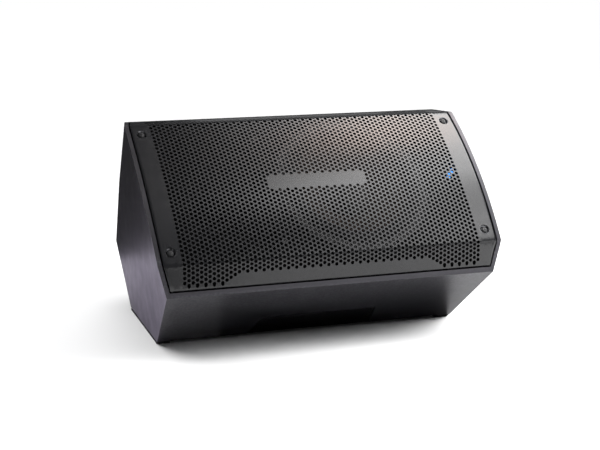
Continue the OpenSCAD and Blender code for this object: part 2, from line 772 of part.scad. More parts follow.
module release_tab(at) {
    translate([at[0], at[1], 0]) {
        span([-3.4, 12.8, panel_back - 4], [3.4, 14.4, panel_face + 5]);
        span([-3.4, 12.8, panel_face + 3.6], [3.4, 15.4, panel_face + 5]);
    }
}
module release_tab_1() { color(steel) posed() release_tab(combo_1); }
module release_tab_2() { color(steel) posed() release_tab(combo_2); }
module link_socket() {
    color(part_black) posed() translate([link_at[0], link_at[1], 0]) {
        difference() {
            union() {
                span([-13, -15.5, panel_face], [13, 15.5, panel_face + 2]);
                translate([0, 0, panel_back - 18]) cylinder(h = panel_t + 18, r = 11.8);
            }
            translate([0, 0, panel_back - 12]) cylinder(h = 40, r = 9.4);
            for (s = [-1, 1]) translate([s * 10, -s * 12.5, panel_face - 3]) cylinder(h = 9, r = 1.6);
        }
        for (a = [90, 210, 330])
            translate([5 * cos(a), 5 * sin(a), panel_back - 12]) cylinder(h = 11, r = 1.2);
    }
}

// Volume controls
module volume_pots() {
    color(steel) posed() for (p = [knob_1, knob_2]) {
        ring(p, panel_back - 2, panel_face + 4, shaft_r + 0.08, 3.8);
        ring(p, panel_face, panel_face + 2, 3.8, 5.5);
        difference() {
            disc(p, panel_back - 11, panel_back, 8);
            disc(p, panel_back - 9, panel_back + 1, shaft_r + 0.08);
        }
    }
}
module volume_shaft(at) { color(steel) posed() disc(at, panel_back - 8.5, panel_face + 12, shaft_r); }
module volume_shaft_1() { volume_shaft(knob_1); }
module volume_shaft_2() { volume_shaft(knob_2); }
module volume_knob(at) {
    ridges = 18;
    color(part_black) posed() translate([at[0], at[1], panel_face]) difference() {
        union() {
            translate([0, 0, 4.6]) cylinder(h = 1.6, r = knob_r + 1.5);
            translate([0, 0, 6]) linear_extrude(11)
                polygon([for (a = [0 : 90 / ridges : 359])
                    (knob_r + 0.4 * cos(a * ridges)) * [cos(a), sin(a)]]);
            translate([0, 0, 16]) cylinder(h = 1.8, r = knob_r - 1);
        }
        translate([0, 0, 4]) cylinder(h = 8, r = shaft_r);
        translate([-0.5, 1.5, 17]) cube([1, knob_r, 3]);
    }
}
module volume_knob_1() { volume_knob(knob_1); }
module volume_knob_2() { volume_knob(knob_2); }

// Push switches
module push_button(at) {
    color([0.5, 0.5, 0.52]) posed() {
        translate([at[0], at[1], panel_face]) rotate_extrude()
            polygon([[0, -4], [1.6, -4], [1.6, -2], [button_r, -2], [button_r, 4.6],
                     [button_r - 0.5, 5.1], [0, 5.1]]);
    }
}
module contour_button() { push_button(contour_at); }
module ground_lift_button() { push_button(lift_at); }
module button_switches() {
    color(dark_steel) posed() for (p = [contour_at, lift_at]) {
        ring(p, panel_back - 3, panel_face, button_r + 0.1, 5);
        ring(p, panel_face, panel_face + 1.4, button_r + 0.1, 5.8);
        difference() {
            translate([p[0], p[1], 0]) span([-5, -5, panel_back - 12], [5, 5, panel_back - 3]);
            disc(p, panel_back - 8, panel_back, 1.9);
        }
    }
}
module rocker_bezel() {
    color(part_black) posed() translate([rocker_at[0], rocker_at[1], 0]) difference() {
        union() {
            span([-11, -15.5, panel_face], [11, 15.5, panel_face + 2]);
            span([-8.8, -13.3, panel_back - 16], [8.8, 13.3, panel_face]);
        }
        span([-rocker_w / 2 - 0.3, -rocker_r - 0.4, panel_back - 12],
             [rocker_w / 2 + 0.3, rocker_r + 0.4, far]);
    }
}
module power_rocker() {
    color(part_black) posed() translate([rocker_at[0], rocker_at[1], panel_face - 1])
        rotate([rocker_tilt, 0, 0]) intersection() {
            along_x(rocker_w) circle(r = rocker_r);
            along_x(rocker_w) polygon([[-12, 6.6], [0, 4.5], [12, 6.6], [8, -6], [-8, -6]]);
        }
}
module mains_inlet() {
    color(part_black) posed() translate([inlet_at[0], inlet_at[1], 0]) {
        difference() {
            union() {
                span([-16, -18, panel_face], [16, 27, panel_face + 2.5]);
                span([-13.8, -15.8, panel_back - 20], [13.8, 24.8, panel_face]);
            }
            translate([0, -3, 0]) inlet_shape(12.2, 8.4, panel_back - 15);
            span([-11.2, 12, panel_back - 16], [11.2, 22.4, far]);
        }
        for (pin = [[-7, -4], [0, 1.5], [7, -4]])
            span([pin[0] - 1, pin[1] - 2, panel_back - 15], [pin[0] + 1, pin[1] + 2, panel_face - 2]);
    }
}
// The keyed opening of the inlet: a rectangle with two cut corners
module inlet_shape(w, h, from) {
    translate([0, 0, from]) linear_extrude(60)
        polygon([[-w, -h], [w, -h], [w, h - 4], [w - 4, h], [-w + 4, h], [-w, h - 4]]);
}
module fuse_drawer() {
    color(part_black) posed() translate([inlet_at[0], inlet_at[1], 0]) difference() {
        span([-11, 12.2, panel_back - 15], [11, 22.2, panel_face + 3.4]);
        span([-3, 20.6, panel_face + 1.4], [3, 24, panel_face + 6]);
        translate([0, 17.2, panel_back - 17]) cylinder(h = 12, r = 2.6);
    }
}
panel_light_r = 1.5;
module panel_lights() {
    color([0.3, 0.9, 0.4]) posed() for (x = lights_x) {
        disc([x, knob_1[1]], panel_back - 2, panel_face + 0.4, panel_light_r);
        translate([x, knob_1[1], panel_face + 0.4]) sphere(r = panel_light_r, $fn = 32);
    }
}

module acoustic_lining() {
    color([0.3, 0.3, 0.31]) posed() translate([-30, 0, 0]) along_x(260) intersection() {
        difference() {
            section(30, 0, 40, 40, 40, wall_t + slip);
            section(-9, -9, -9, -9, -9, wall_t + 14);
        }
        translate([-200, 70]) square([110, 166]);
    }
}

// Leads from the amplifier to the drivers, as straight runs with round bends
module lead(points, r) {
    for (k = [0 : len(points) - 2]) let (a = points[k], b = points[k + 1], v = b - a) {
        translate(a) rotate([0, acos(v[2] / norm(v)), atan2(v[1], v[0])])
            cylinder(h = norm(v), r = r, $fn = 24);
        if (k > 0) translate(a) sphere(r = r + 0.1, $fn = 24);
    }
}
module speaker_leads() {
    color([0.6, 0.1, 0.08]) posed() {
        lead([[20, -60, board_d], [20, -60, 180], [40, -30, 130], [40, -30, 110]], 1.6);
        lead([[-60, -60, board_d], [-60, -60, 200], [-127, -10, 170], [-127, -10, throat_depth + 47]], 1.6);
    }
}

cabinet_shell();
front_baffle();
baffle_screws();
grille();
screw_cups();
grille_screws();
woofer_gasket();
woofer_basket();
woofer_surround();
woofer_cone();
woofer_dust_cap();
woofer_voice_coil();
woofer_spider();
woofer_top_plate();
woofer_magnet();
woofer_back_plate();
woofer_screws();
horn_flare();
horn_screws();
compression_driver();
driver_screws();
port_tubes();
status_light();
light_board();
handle_cup();
handle_grip();
floor_rails();
rail_screws();
pole_socket();
pole_socket_screws();
amp_panel();
panel_gasket();
panel_screws();
heat_sink();
amp_board();
power_board();
transformer();
capacitors();
standoffs();
combo_socket_1();
combo_socket_2();
release_tab_1();
release_tab_2();
link_socket();
volume_pots();
volume_shaft_1();
volume_shaft_2();
volume_knob_1();
volume_knob_2();
contour_button();
ground_lift_button();
button_switches();
rocker_bezel();
power_rocker();
mains_inlet();
fuse_drawer();
panel_lights();
acoustic_lining();
speaker_leads();
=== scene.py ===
"""Looks of the stage monitor wedge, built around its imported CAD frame.

Every length is in metres. "Cabinet axes" are x along the length, u across the front towards the
resting side, and d back from the crown of the grille, as in the part's own source.
"""

import json
import math

import bmesh
import bpy
from mathutils import Matrix, Vector


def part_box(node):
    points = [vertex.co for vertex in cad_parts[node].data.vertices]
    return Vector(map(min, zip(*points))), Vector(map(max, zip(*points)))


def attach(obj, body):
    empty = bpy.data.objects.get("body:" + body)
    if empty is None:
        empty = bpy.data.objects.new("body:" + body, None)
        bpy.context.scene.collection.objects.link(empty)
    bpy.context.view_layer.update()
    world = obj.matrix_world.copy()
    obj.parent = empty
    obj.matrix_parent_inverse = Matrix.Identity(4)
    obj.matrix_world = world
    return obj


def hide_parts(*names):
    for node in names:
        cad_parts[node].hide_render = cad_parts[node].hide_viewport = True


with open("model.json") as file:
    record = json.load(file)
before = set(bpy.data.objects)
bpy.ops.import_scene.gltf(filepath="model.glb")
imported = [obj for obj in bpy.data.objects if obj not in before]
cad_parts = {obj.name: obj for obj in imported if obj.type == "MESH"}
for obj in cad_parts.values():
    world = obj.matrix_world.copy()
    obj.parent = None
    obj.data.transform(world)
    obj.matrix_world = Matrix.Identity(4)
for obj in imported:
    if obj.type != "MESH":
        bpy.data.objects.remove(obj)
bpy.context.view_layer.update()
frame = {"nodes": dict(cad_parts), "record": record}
nodes = frame["nodes"]
node_body = {n: body for body, group in frame["record"]["behaviour"]["bodies"].items() for n in group}
node_slot = {part["node"]: part["material_slot"] for part in frame["record"]["subparts"]}

MM = 0.001
LEAN = math.radians(-135)

# Cabinet sizes that the frame's boxes don't give: FRONT_FLAT is how far the front's crown lies from the
# cabinet's highest edge, FRONT_RADIUS is the front's curve, FRONT_HALF is half its width, and EDGE_DEPTH
# is how far the front's long edges lie behind the crown.
FRONT_FLAT = 95.2 * MM
FRONT_RADIUS = 594.4 * MM
FRONT_HALF = 132.6 * MM
EDGE_DEPTH = 37.4 * MM

shell_low, shell_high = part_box("cabinet_shell")
origin_y = shell_low.y + FRONT_FLAT / math.sqrt(2)
origin_z = shell_high.z - FRONT_FLAT / math.sqrt(2)
CABINET = Matrix.Translation((0, origin_y, origin_z)) @ Matrix.Rotation(LEAN, 4, "X")


def at(x, u, d):
    """A point in cabinet axes, as a point in the row frame."""
    return CABINET @ Vector((x, u, d))


# ---------------------------------------------------------------- camera, floor and light

AIM = Vector((0.0114, -0.0227, 0.1274))
AZIMUTH = math.radians(-20.56)
ELEVATION = math.radians(10.74)
DISTANCE = 1.95
FOCAL_LENGTH = 88.94
SENSOR_WIDTH = 36

# Soft lights: name, place, target, width, height, power, and colour and whether it shows in gloss where they
# aren't the usual
LIGHTS = [
    ("softbox_right", (1.06, 0.15, 1.65), (0.25, -0.05, 0.2), 1.15, 0.75, 25),
    ("softbox_middle", (0.5, -0.05, 1.66), (0.12, -0.05, 0.2), 1.1, 0.32, 2.2),
    ("softbox_front", (0.8, -0.62, 1.5), (0.15, -0.1, 0.2), 0.4, 0.8, 5),
    ("softbox_warm", (0.7, 0.1, 1.6), (0.05, -0.05, 0.2), 0.34, 0.26, 2.2, (1, 0.66, 0.5)),
    ("softbox_back", (1.9, 2.8, 1.15), (0.2, 0, 0.25), 2.4, 1.4, 2),
    ("strip_front", (0.75, -1.1, 1.3), (0.15, -0.1, 0.15), 0.7, 0.5, 3),
    ("fill_front", (1.3, -1.9, 0.6), (0.1, -0.1, 0.12), 1.2, 0.9, 6),
    ("floor_right", (1.35, -0.5, 0.8), (1.05, -0.3, 0), 0.8, 0.8, 50, (1, 1, 1), False),
]
SUN_TOWARDS = Vector((-0.2, 0.3, 1))
SUN_STRENGTH = 3.3
SUN_SPREAD = math.radians(70)
WORLD_COLOUR = (0.97, 0.98, 1, 1)
WORLD_STRENGTH = 0.13

# Cards that only gloss sees: name, low and high corner of the floor area they cover, height, colour
CARD_BLACK = (0.02, 0.02, 0.02)
CARD_LILAC = (0.68, 0.62, 0.78)
FLOOR_CARDS = [
    ("card_front", (-0.7, -1.4), (-0.02, -0.5), 2 * MM, CARD_BLACK),
    ("card_under", (-0.12, -0.16), (0.2, -0.075), 1 * MM, CARD_BLACK),
    ("card_left", (-1.4, -0.1), (-0.19, 0.41), 2 * MM, CARD_LILAC),
]
FLOOR_HALF = 30
FLOOR_GREY = (0.93, 0.93, 0.93)


def look_at(obj, target):
    obj.rotation_euler = (target - obj.location).to_track_quat("-Z", "Y").to_euler()


def add_camera():
    lens = bpy.data.cameras.new("camera")
    lens.lens = FOCAL_LENGTH
    lens.sensor_width = SENSOR_WIDTH
    camera = bpy.data.objects.new("camera", lens)
    flat = DISTANCE * math.cos(ELEVATION)
    away = Vector((flat * math.sin(AZIMUTH), -flat * math.cos(AZIMUTH), DISTANCE * math.sin(ELEVATION)))
    camera.location = AIM + away
    look_at(camera, AIM)
    bpy.context.scene.collection.objects.link(camera)
    bpy.context.scene.camera = camera


def area_light(name, place, target, width, height, power, colour=(1, 1, 1), gloss=True):
    """A soft light that shows in gloss alone, or, without gloss, only lights matt surfaces."""
    light = bpy.data.lights.new(name, "AREA")
    light.shape = "RECTANGLE"
    light.size = width
    light.size_y = height
    light.energy = power
    light.color = colour
    holder = bpy.data.objects.new(name, light)
    holder.location = place
    look_at(holder, Vector(target))
    holder.visible_diffuse = not gloss
    holder.visible_glossy = gloss
    bpy.context.scene.collection.objects.link(holder)


def sun_light():
    """A wide overhead sun, which doesn't show in gloss."""
    light = bpy.data.lights.new("overhead", "SUN")
    light.energy = SUN_STRENGTH
    light.angle = SUN_SPREAD
    holder = bpy.data.objects.new("overhead", light)
    holder.location = SUN_TOWARDS
    look_at(holder, Vector((0, 0, 0)))
    holder.visible_glossy = False
    bpy.context.scene.collection.objects.link(holder)


def add_lights():
    for light in LIGHTS:
        area_light(*light)
    sun_light()
    world = bpy.data.worlds.new("studio")
    world.use_nodes = True
    background = world.node_tree.nodes["Background"]
    background.inputs["Color"].default_value = WORLD_COLOUR
    background.inputs["Strength"].default_value = WORLD_STRENGTH
    bpy.context.scene.world = world


def add_card(name, corners, colour):
    """A card that only gloss sees, as studios shade one side of a shiny object with."""
    mesh = bpy.data.meshes.new(name)
    mesh.from_pydata(corners, [], [(0, 1, 2, 3)])
    card = bpy.data.objects.new(name, mesh)
    bpy.context.scene.collection.objects.link(card)
    paint = bpy.data.materials.new(name + "_cloth")
    paint.use_nodes = True
    paint.node_tree.nodes["Principled BSDF"].inputs["Base Color"].default_value = (*colour, 1)
    mesh.materials.append(paint)
    card.visible_camera = False
    card.visible_diffuse = False
    card.visible_shadow = False


def add_cards():
    left, right, back, top = -0.75, -0.05, 0.42, 0.5
    corners = [(left, back, 0), (right, back, 0), (right, back, top), (left, back, top)]
    add_card("card_behind", corners, CARD_BLACK)
    for name, (x0, y0), (x1, y1), height, colour in FLOOR_CARDS:
        corners = [(x0, y0, height), (x1, y0, height), (x1, y1, height), (x0, y1, height)]
        add_card(name, corners, colour)


def add_floor():
    half = FLOOR_HALF
    corners = [(-half, -half, 0), (half, -half, 0), (half, half, 0), (-half, half, 0)]
    mesh = bpy.data.meshes.new("floor")
    mesh.from_pydata(corners, [], [(0, 1, 2, 3)])
    floor = bpy.data.objects.new("floor", mesh)
    bpy.context.scene.collection.objects.link(floor)
    paint = bpy.data.materials.new("floor_paper")
    paint.use_nodes = True
    shader = paint.node_tree.nodes["Principled BSDF"]
    shader.inputs["Base Color"].default_value = (*FLOOR_GREY, 1)
    shader.inputs["Roughness"].default_value = 0.9
    shader.inputs["Specular IOR Level"].default_value = 0.1
    mesh.materials.append(paint)


# ---------------------------------------------------------------- materials

WAVE_LENGTH = math.pi / 10


class Recipe:
    """One procedural material, put together from a few kinds of texture in object space."""

    def __init__(self, name, roughness, metallic=0.0, specular=0.5):
        self.slot = name
        self.material = bpy.data.materials.new(name + "_finish")
        self.material.use_nodes = True
        self.tree = self.material.node_tree
        self.shader = self.tree.nodes["Principled BSDF"]
        self.shader.inputs["Roughness"].default_value = roughness
        self.shader.inputs["Metallic"].default_value = metallic
        self.shader.inputs["Specular IOR Level"].default_value = specular
        self.place = self.node("ShaderNodeTexCoord").outputs["Object"]
        self.normal = None

    def node(self, kind, **values):
        made = self.tree.nodes.new(kind)
        for key, value in values.items():
            setattr(made, key, value)
        return made

    def link(self, source, target):
        self.tree.links.new(source, target)

    def stretched(self, stretch, turn=0.0):
        mapping = self.node("ShaderNodeMapping")
        mapping.inputs["Scale"].default_value = stretch
        mapping.inputs["Rotation"].default_value = (turn, 0, 0)
        self.link(self.place, mapping.inputs["Vector"])
        return mapping.outputs["Vector"]

    def noise(self, size, detail=3.0, stretch=None, turn=0.0):
        """Soft noise whose blotches are about size across."""
        texture = self.node("ShaderNodeTexNoise")
        texture.inputs["Scale"].default_value = 1 / size
        texture.inputs["Detail"].default_value = detail
        source = self.stretched(stretch, turn) if stretch else self.place
        self.link(source, texture.inputs["Vector"])
        return texture.outputs["Fac"]

    def cells(self, size):
        """Small cells about size across, darkest at their middles."""
        texture = self.node("ShaderNodeTexVoronoi")
        texture.inputs["Scale"].default_value = 1 / size
        self.link(self.place, texture.inputs["Vector"])
        return texture.outputs["Distance"]

    def bands(self, size, axis="X", distortion=0.0, turn=0.0):
        """Even bands across one axis, size apart: at scale 1 the wave repeats every pi / 10."""
        texture = self.node("ShaderNodeTexWave", bands_direction=axis)
        texture.inputs["Scale"].default_value = WAVE_LENGTH / size
        texture.inputs["Distortion"].default_value = distortion
        self.link(self.stretched((1, 1, 1), turn), texture.inputs["Vector"])
        return texture.outputs["Fac"]

    def ramp(self, source, low, high, start=0.3, end=0.7):
        """A smooth passage between two colours as source goes from start to end."""
        made = self.node("ShaderNodeValToRGB")
        made.color_ramp.elements[0].position = start
        made.color_ramp.elements[0].color = (*low, 1)
        made.color_ramp.elements[1].position = end
        made.color_ramp.elements[1].color = (*high, 1)
        self.link(source, made.inputs["Fac"])
        return made.outputs["Color"]

    def levels(self, source, low, high, start=0.3, end=0.7):
        """A value from low to high as source goes from start to end."""
        made = self.node("ShaderNodeMapRange")
        for key, value in (("From Min", start), ("From Max", end), ("To Min", low), ("To Max", high)):
            made.inputs[key].default_value = value
        self.link(source, made.inputs["Value"])
        return made.outputs["Result"]

    def mixed(self, share, first, second):
        """The first colour turning into the second as share goes from 0 to 1."""
        made = self.node("ShaderNodeMix", data_type="RGBA")
        self.link(share, made.inputs["Factor"])
        self.link(first, made.inputs["A"])
        self.link(second, made.inputs["B"])
        return made.outputs["Result"]

    def edges(self, start, end):
        """Where the surface is a convex edge, from 0 to 1."""
        geometry = self.node("ShaderNodeNewGeometry")
        return self.levels(geometry.outputs["Pointiness"], 0, 1, start, end)

    def colour(self, source):
        self.link(source, self.shader.inputs["Base Color"])

    def rough(self, source):
        self.link(source, self.shader.inputs["Roughness"])

    def bump(self, height, depth, strength=1.0):
        """Relief of that depth, on top of any relief already there."""
        made = self.node("ShaderNodeBump")
        made.inputs["Distance"].default_value = depth
        made.inputs["Strength"].default_value = strength
        self.link(height, made.inputs["Height"])
        if self.normal:
            self.link(self.normal, made.inputs["Normal"])
        self.normal = made.outputs["Normal"]
        self.link(self.normal, self.shader.inputs["Normal"])


def grained_plastic(name, dark, light, roughness, grain, depth, wear=None, tint=(1, 1, 1), specular=0.5):
    """Moulded plastic: a spark-eroded grain, faint flow marks, and lighter rubbed edges."""
    made = Recipe(name, roughness, specular=specular)
    made.shader.inputs["Specular Tint"].default_value = (*tint, 1)
    body = made.ramp(made.noise(60 * MM, 4), dark, light)
    if wear:
        rubbed = made.ramp(made.noise(3 * MM, 4), light, wear, 0.35, 0.75)
        body = made.mixed(made.edges(0.53, 0.64), body, rubbed)
    made.colour(body)
    made.rough(made.levels(made.noise(22 * MM, 3), roughness - 0.03, roughness + 0.04))
    made.bump(made.noise(grain, 2), depth)
    made.bump(made.cells(grain * 2.4), depth * 0.6)
    return made


def coated_metal(name, dark, light, roughness, peel, depth, wear=None):
    """Powder coat: a fine orange peel on two scales, slow changes of tone and bare metal showing at rubbed
    edges.
    """
    made = Recipe(name, roughness)
    body = made.ramp(made.noise(35 * MM, 5), dark, light)
    if wear:
        chipped = made.ramp(made.noise(2 * MM, 5), light, wear, 0.5, 0.7)
        body = made.mixed(made.edges(0.54, 0.62), body, chipped)
    made.colour(body)
    made.rough(made.levels(made.noise(9 * MM, 2), roughness - 0.015, roughness + 0.02))
    made.bump(made.noise(peel, 2), depth)
    made.bump(made.noise(peel / 5, 1), depth * 0.25)
    return made


def bare_metal(name, dark, light, roughness, stretch=(1, 1, 1), turn=0.0):
    """Plated or turned metal: drawn scratches and slow stains."""
    made = Recipe(name, roughness, metallic=1.0)
    lines = made.noise(1.2 * MM, 5, stretch, turn)
    made.colour(made.mixed(lines, made.ramp(made.noise(12 * MM, 3), dark, light),
                           made.ramp(made.noise(4 * MM, 4), light, dark)))
    made.rough(made.levels(lines, roughness - 0.07, roughness + 0.12))
    made.bump(lines, 0.01 * MM)
    return made


def rubber(name, dark, light, roughness):
    """Soft rubber: matt, a little dusty, with fine pores."""
    made = Recipe(name, roughness, specular=0.35)
    made.colour(made.ramp(made.noise(7 * MM, 6), dark, light))
    made.rough(made.levels(made.noise(20 * MM, 3), roughness - 0.08, roughness + 0.08))
    made.bump(made.noise(0.5 * MM, 3), 0.03 * MM)
    return made


def woven(name, dark, light, roughness, thread, depth):
    """Cloth: two sets of threads crossing, slightly uneven."""
    made = Recipe(name, roughness, specular=0.25)
    warp = made.bands(thread, "X", 0.6)
    weft = made.bands(thread, "Z", 0.6)
    made.colour(made.mixed(made.noise(5 * MM, 4), made.ramp(warp, dark, light), made.ramp(weft, light, dark)))
    made.bump(warp, depth)
    made.bump(weft, depth)
    made.shader.inputs["Sheen Weight"].default_value = 0.3
    return made


def cone_paper():
    """Pressed paper with fibres that lie along the cabinet."""
    made = Recipe("cone_paper", 0.62, specular=0.35)
    fibres = made.noise(1.6 * MM, 6, (1, 3, 3))
    made.colour(made.ramp(fibres, (0.03, 0.022, 0.018), (0.075, 0.055, 0.045)))
    made.rough(made.levels(made.noise(9 * MM, 3), 0.5, 0.7))
    made.bump(fibres, 0.12 * MM)
    return made


def ferrite():
    """Fired ceramic magnet: dull, pitted, with grinding marks."""
    made = Recipe("ferrite", 0.75, specular=0.35)
    made.colour(made.ramp(made.noise(2.5 * MM, 6), (0.045, 0.043, 0.045), (0.1, 0.095, 0.095)))
    made.bump(made.cells(1.1 * MM), 0.06 * MM)
    made.bump(made.bands(3 * MM, "Y", 2.5, LEAN), 0.03 * MM)
    return made


def coil_copper():
    """Bright wire in close turns."""
    made = Recipe("coil_copper", 0.3, metallic=1.0)
    turns = made.bands(0.35 * MM, "Z", 0.0, -LEAN)
    made.colour(made.ramp(turns, (0.35, 0.12, 0.05), (0.85, 0.42, 0.22), 0.2, 0.8))
    made.bump(turns, 0.12 * MM)
    return made


def light_lens():
    """The lit blue lens behind the grille."""
    made = Recipe("light_lens", 0.25)
    glow = made.ramp(made.noise(1.5 * MM, 2), (0.03, 0.2, 0.75), (0.1, 0.4, 0.9))
    made.colour(glow)
    made.link(glow, made.shader.inputs["Emission Color"])
    made.shader.inputs["Emission Strength"].default_value = 1.6
    return made


def panel_lens():
    """The small green lenses on the rear panel, unlit."""
    made = Recipe("panel_lens", 0.3)
    made.colour(made.ramp(made.noise(0.8 * MM, 2), (0.04, 0.2, 0.05), (0.12, 0.42, 0.1)))
    made.rough(made.levels(made.noise(1 * MM, 2), 0.2, 0.4))
    made.shader.inputs["Transmission Weight"].default_value = 0.15
    return made


def board_resin():
    """A green circuit board with tracks under its lacquer."""
    made = Recipe("board_resin", 0.38)
    tracks = made.node("ShaderNodeTexBrick", offset=0.37, squash=0.6, squash_frequency=3)
    tracks.inputs["Scale"].default_value = 130
    tracks.inputs["Mortar Size"].default_value = 0.035
    tracks.inputs["Color1"].default_value = (0.012, 0.1, 0.035, 1)
    tracks.inputs["Color2"].default_value = (0.018, 0.125, 0.045, 1)
    tracks.inputs["Mortar"].default_value = (0.03, 0.2, 0.07, 1)
    made.link(made.stretched((1, 1, 1), -LEAN), tracks.inputs["Vector"])
    stain = made.ramp(made.noise(30 * MM, 3), (0.01, 0.08, 0.03), (0.02, 0.14, 0.05))
    made.colour(made.mixed(made.noise(16 * MM, 2), tracks.outputs["Color"], stain))
    made.bump(tracks.outputs["Fac"], 0.05 * MM)
    return made


def lining_felt():
    """Loose grey felt."""
    made = Recipe("lining_felt", 0.95, specular=0.15)
    fibres = made.noise(2.2 * MM, 8, (1, 2.5, 1))
    made.colour(made.ramp(fibres, (0.1, 0.1, 0.105), (0.3, 0.3, 0.31)))
    made.bump(fibres, 0.8 * MM)
    made.bump(made.noise(14 * MM, 3), 1.5 * MM)
    made.shader.inputs["Sheen Weight"].default_value = 0.4
    return made


def make_materials():
    black = (0.005, 0.005, 0.0055)
    soot = (0.011, 0.011, 0.012)
    recipes = [
        grained_plastic("shell_plastic", (0.008, 0.008, 0.009), (0.012, 0.0115, 0.0135), 0.34, 0.55 * MM,
                        0.008 * MM, (0.05, 0.05, 0.055), tint=(0.93, 0.9, 1)),
        grained_plastic("baffle_plastic", (0.002, 0.002, 0.002), black, 0.8, 0.7 * MM, 0.02 * MM,
                        specular=0.1),
        coated_metal("grille_paint", (0.005, 0.005, 0.006), (0.008, 0.008, 0.0095), 0.24, 0.9 * MM,
                     0.0025 * MM, (0.06, 0.06, 0.062)),
        bare_metal("cup_steel", (0.05, 0.05, 0.054), (0.12, 0.12, 0.125), 0.16),
        coated_metal("black_screw", black, (0.03, 0.03, 0.032), 0.34, 0.4 * MM, 0.01 * MM, (0.2, 0.2, 0.2)),
        bare_metal("bright_steel", (0.42, 0.42, 0.43), (0.66, 0.66, 0.67), 0.28, (1, 6, 6)),
        coated_metal("basket_steel", black, (0.016, 0.016, 0.017), 0.55, 0.8 * MM, 0.02 * MM,
                     (0.2, 0.2, 0.2)),
        rubber("soft_rubber", (0.008, 0.008, 0.008), (0.018, 0.017, 0.017), 0.75),
        grained_plastic("grip_plastic", (0.04, 0.04, 0.042), (0.055, 0.055, 0.058), 0.3, 0.5 * MM, 0.01 * MM,
                        (0.05, 0.05, 0.055)),
        cone_paper(),
        woven("cap_cloth", (0.02, 0.018, 0.017), (0.06, 0.055, 0.05), 0.7, 0.8 * MM, 0.05 * MM),
        woven("spider_cloth", (0.2, 0.13, 0.06), (0.4, 0.28, 0.14), 0.8, 0.7 * MM, 0.08 * MM),
        coil_copper(),
        ferrite(),
        bare_metal("plate_steel", (0.3, 0.3, 0.31), (0.5, 0.5, 0.52), 0.35, (1, 1, 4), -LEAN),
        light_lens(),
        board_resin(),
        coated_metal("panel_paint", (0.016, 0.016, 0.018), (0.028, 0.028, 0.031), 0.45, 1.1 * MM, 0.03 * MM,
                     (0.12, 0.12, 0.125)),
        coated_metal("sink_metal", (0.012, 0.012, 0.013), (0.035, 0.035, 0.038), 0.4, 0.5 * MM, 0.01 * MM,
                     (0.35, 0.35, 0.36)),
        grained_plastic("socket_plastic", (0.014, 0.014, 0.015), (0.026, 0.026, 0.028), 0.4, 0.5 * MM,
                        0.012 * MM, (0.06, 0.06, 0.065)),
        grained_plastic("knob_plastic", (0.012, 0.012, 0.013), (0.024, 0.024, 0.025), 0.5, 0.4 * MM,
                        0.02 * MM, (0.07, 0.07, 0.07)),
        grained_plastic("button_plastic", (0.4, 0.4, 0.41), (0.52, 0.52, 0.53), 0.42, 0.4 * MM, 0.01 * MM),
        grained_plastic("rocker_plastic", (0.01, 0.01, 0.011), (0.018, 0.018, 0.019), 0.28, 0.6 * MM,
                        0.008 * MM, (0.06, 0.06, 0.06)),
        panel_lens(),
        woven("coil_resin", (0.3, 0.2, 0.05), (0.5, 0.36, 0.1), 0.35, 1.2 * MM, 0.04 * MM),
        grained_plastic("can_sleeve", (0.02, 0.03, 0.08), (0.035, 0.05, 0.12), 0.3, 0.6 * MM, 0.006 * MM),
        lining_felt(),
        rubber("lead_pvc", (0.28, 0.03, 0.02), (0.42, 0.05, 0.035), 0.42),
    ]
    return {made.slot: made.material for made in recipes}


materials = {}


def dress_cad_nodes():
    """Gives every CAD node's own slots the finished material of the same name."""
    for node, obj in nodes.items():
        for index in range(len(obj.material_slots)):
            obj.material_slots[index].material = materials[node_slot[node]]


# ---------------------------------------------------------------- pieces

def finished(name, mesh, slot, body, smooth=32):
    """A new piece from a mesh that lies in the row frame, smooth except at its sharp edges."""
    mesh.shade_smooth()
    mesh.set_sharp_from_angle(angle=math.radians(smooth))
    mesh.materials.clear()
    mesh.materials.append(materials[slot])
    piece = bpy.data.objects.new(name, mesh)
    bpy.context.scene.collection.objects.link(piece)
    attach(piece, body)
    return piece


def softened(node, width, segments=3, shortest=0.0, sharp=28):
    """Stands for a CAD node with the same form, its hard edges rounded to width."""
    form = bmesh.new()
    form.from_mesh(nodes[node].data)
    bmesh.ops.remove_doubles(form, verts=form.verts, dist=0.001 * MM)
    bmesh.ops.dissolve_limit(form, angle_limit=math.radians(0.3), verts=form.verts, edges=form.edges)
    limit = math.radians(sharp)
    hard = [e for e in form.edges
            if e.is_manifold and e.calc_face_angle() > limit and e.calc_length() > shortest]
    bmesh.ops.bevel(form, geom=hard, offset=width, offset_type="OFFSET", segments=segments, profile=0.5,
                    affect="EDGES", clamp_overlap=True, miter_outer="SHARP", miter_inner="SHARP")
    bmesh.ops.remove_doubles(form, verts=form.verts, dist=0.001 * MM)
    mesh = bpy.data.meshes.new(node + "_finished")
    form.to_mesh(mesh)
    form.free()
    piece = finished(node + "_finished", mesh, node_slot[node], node_body[node], 40)
    weighted = piece.modifiers.new("even_normals", "WEIGHTED_NORMAL")
    weighted.keep_sharp = True
    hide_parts(node)
    return piece


# How wide each CAD node's hard edges are rounded
EDGE_WIDTHS = {
    "handle_grip": 3.5 * MM,
    "handle_cup": 1.5 * MM,
    "heat_sink": 0.35 * MM,
    "mains_inlet": 0.5 * MM,
    "fuse_drawer": 0.4 * MM,
    "rocker_bezel": 0.6 * MM,
    "power_rocker": 0.5 * MM,
    "release_tab_1": 0.3 * MM,
    "release_tab_2": 0.3 * MM,
    "transformer": 0.8 * MM,
}


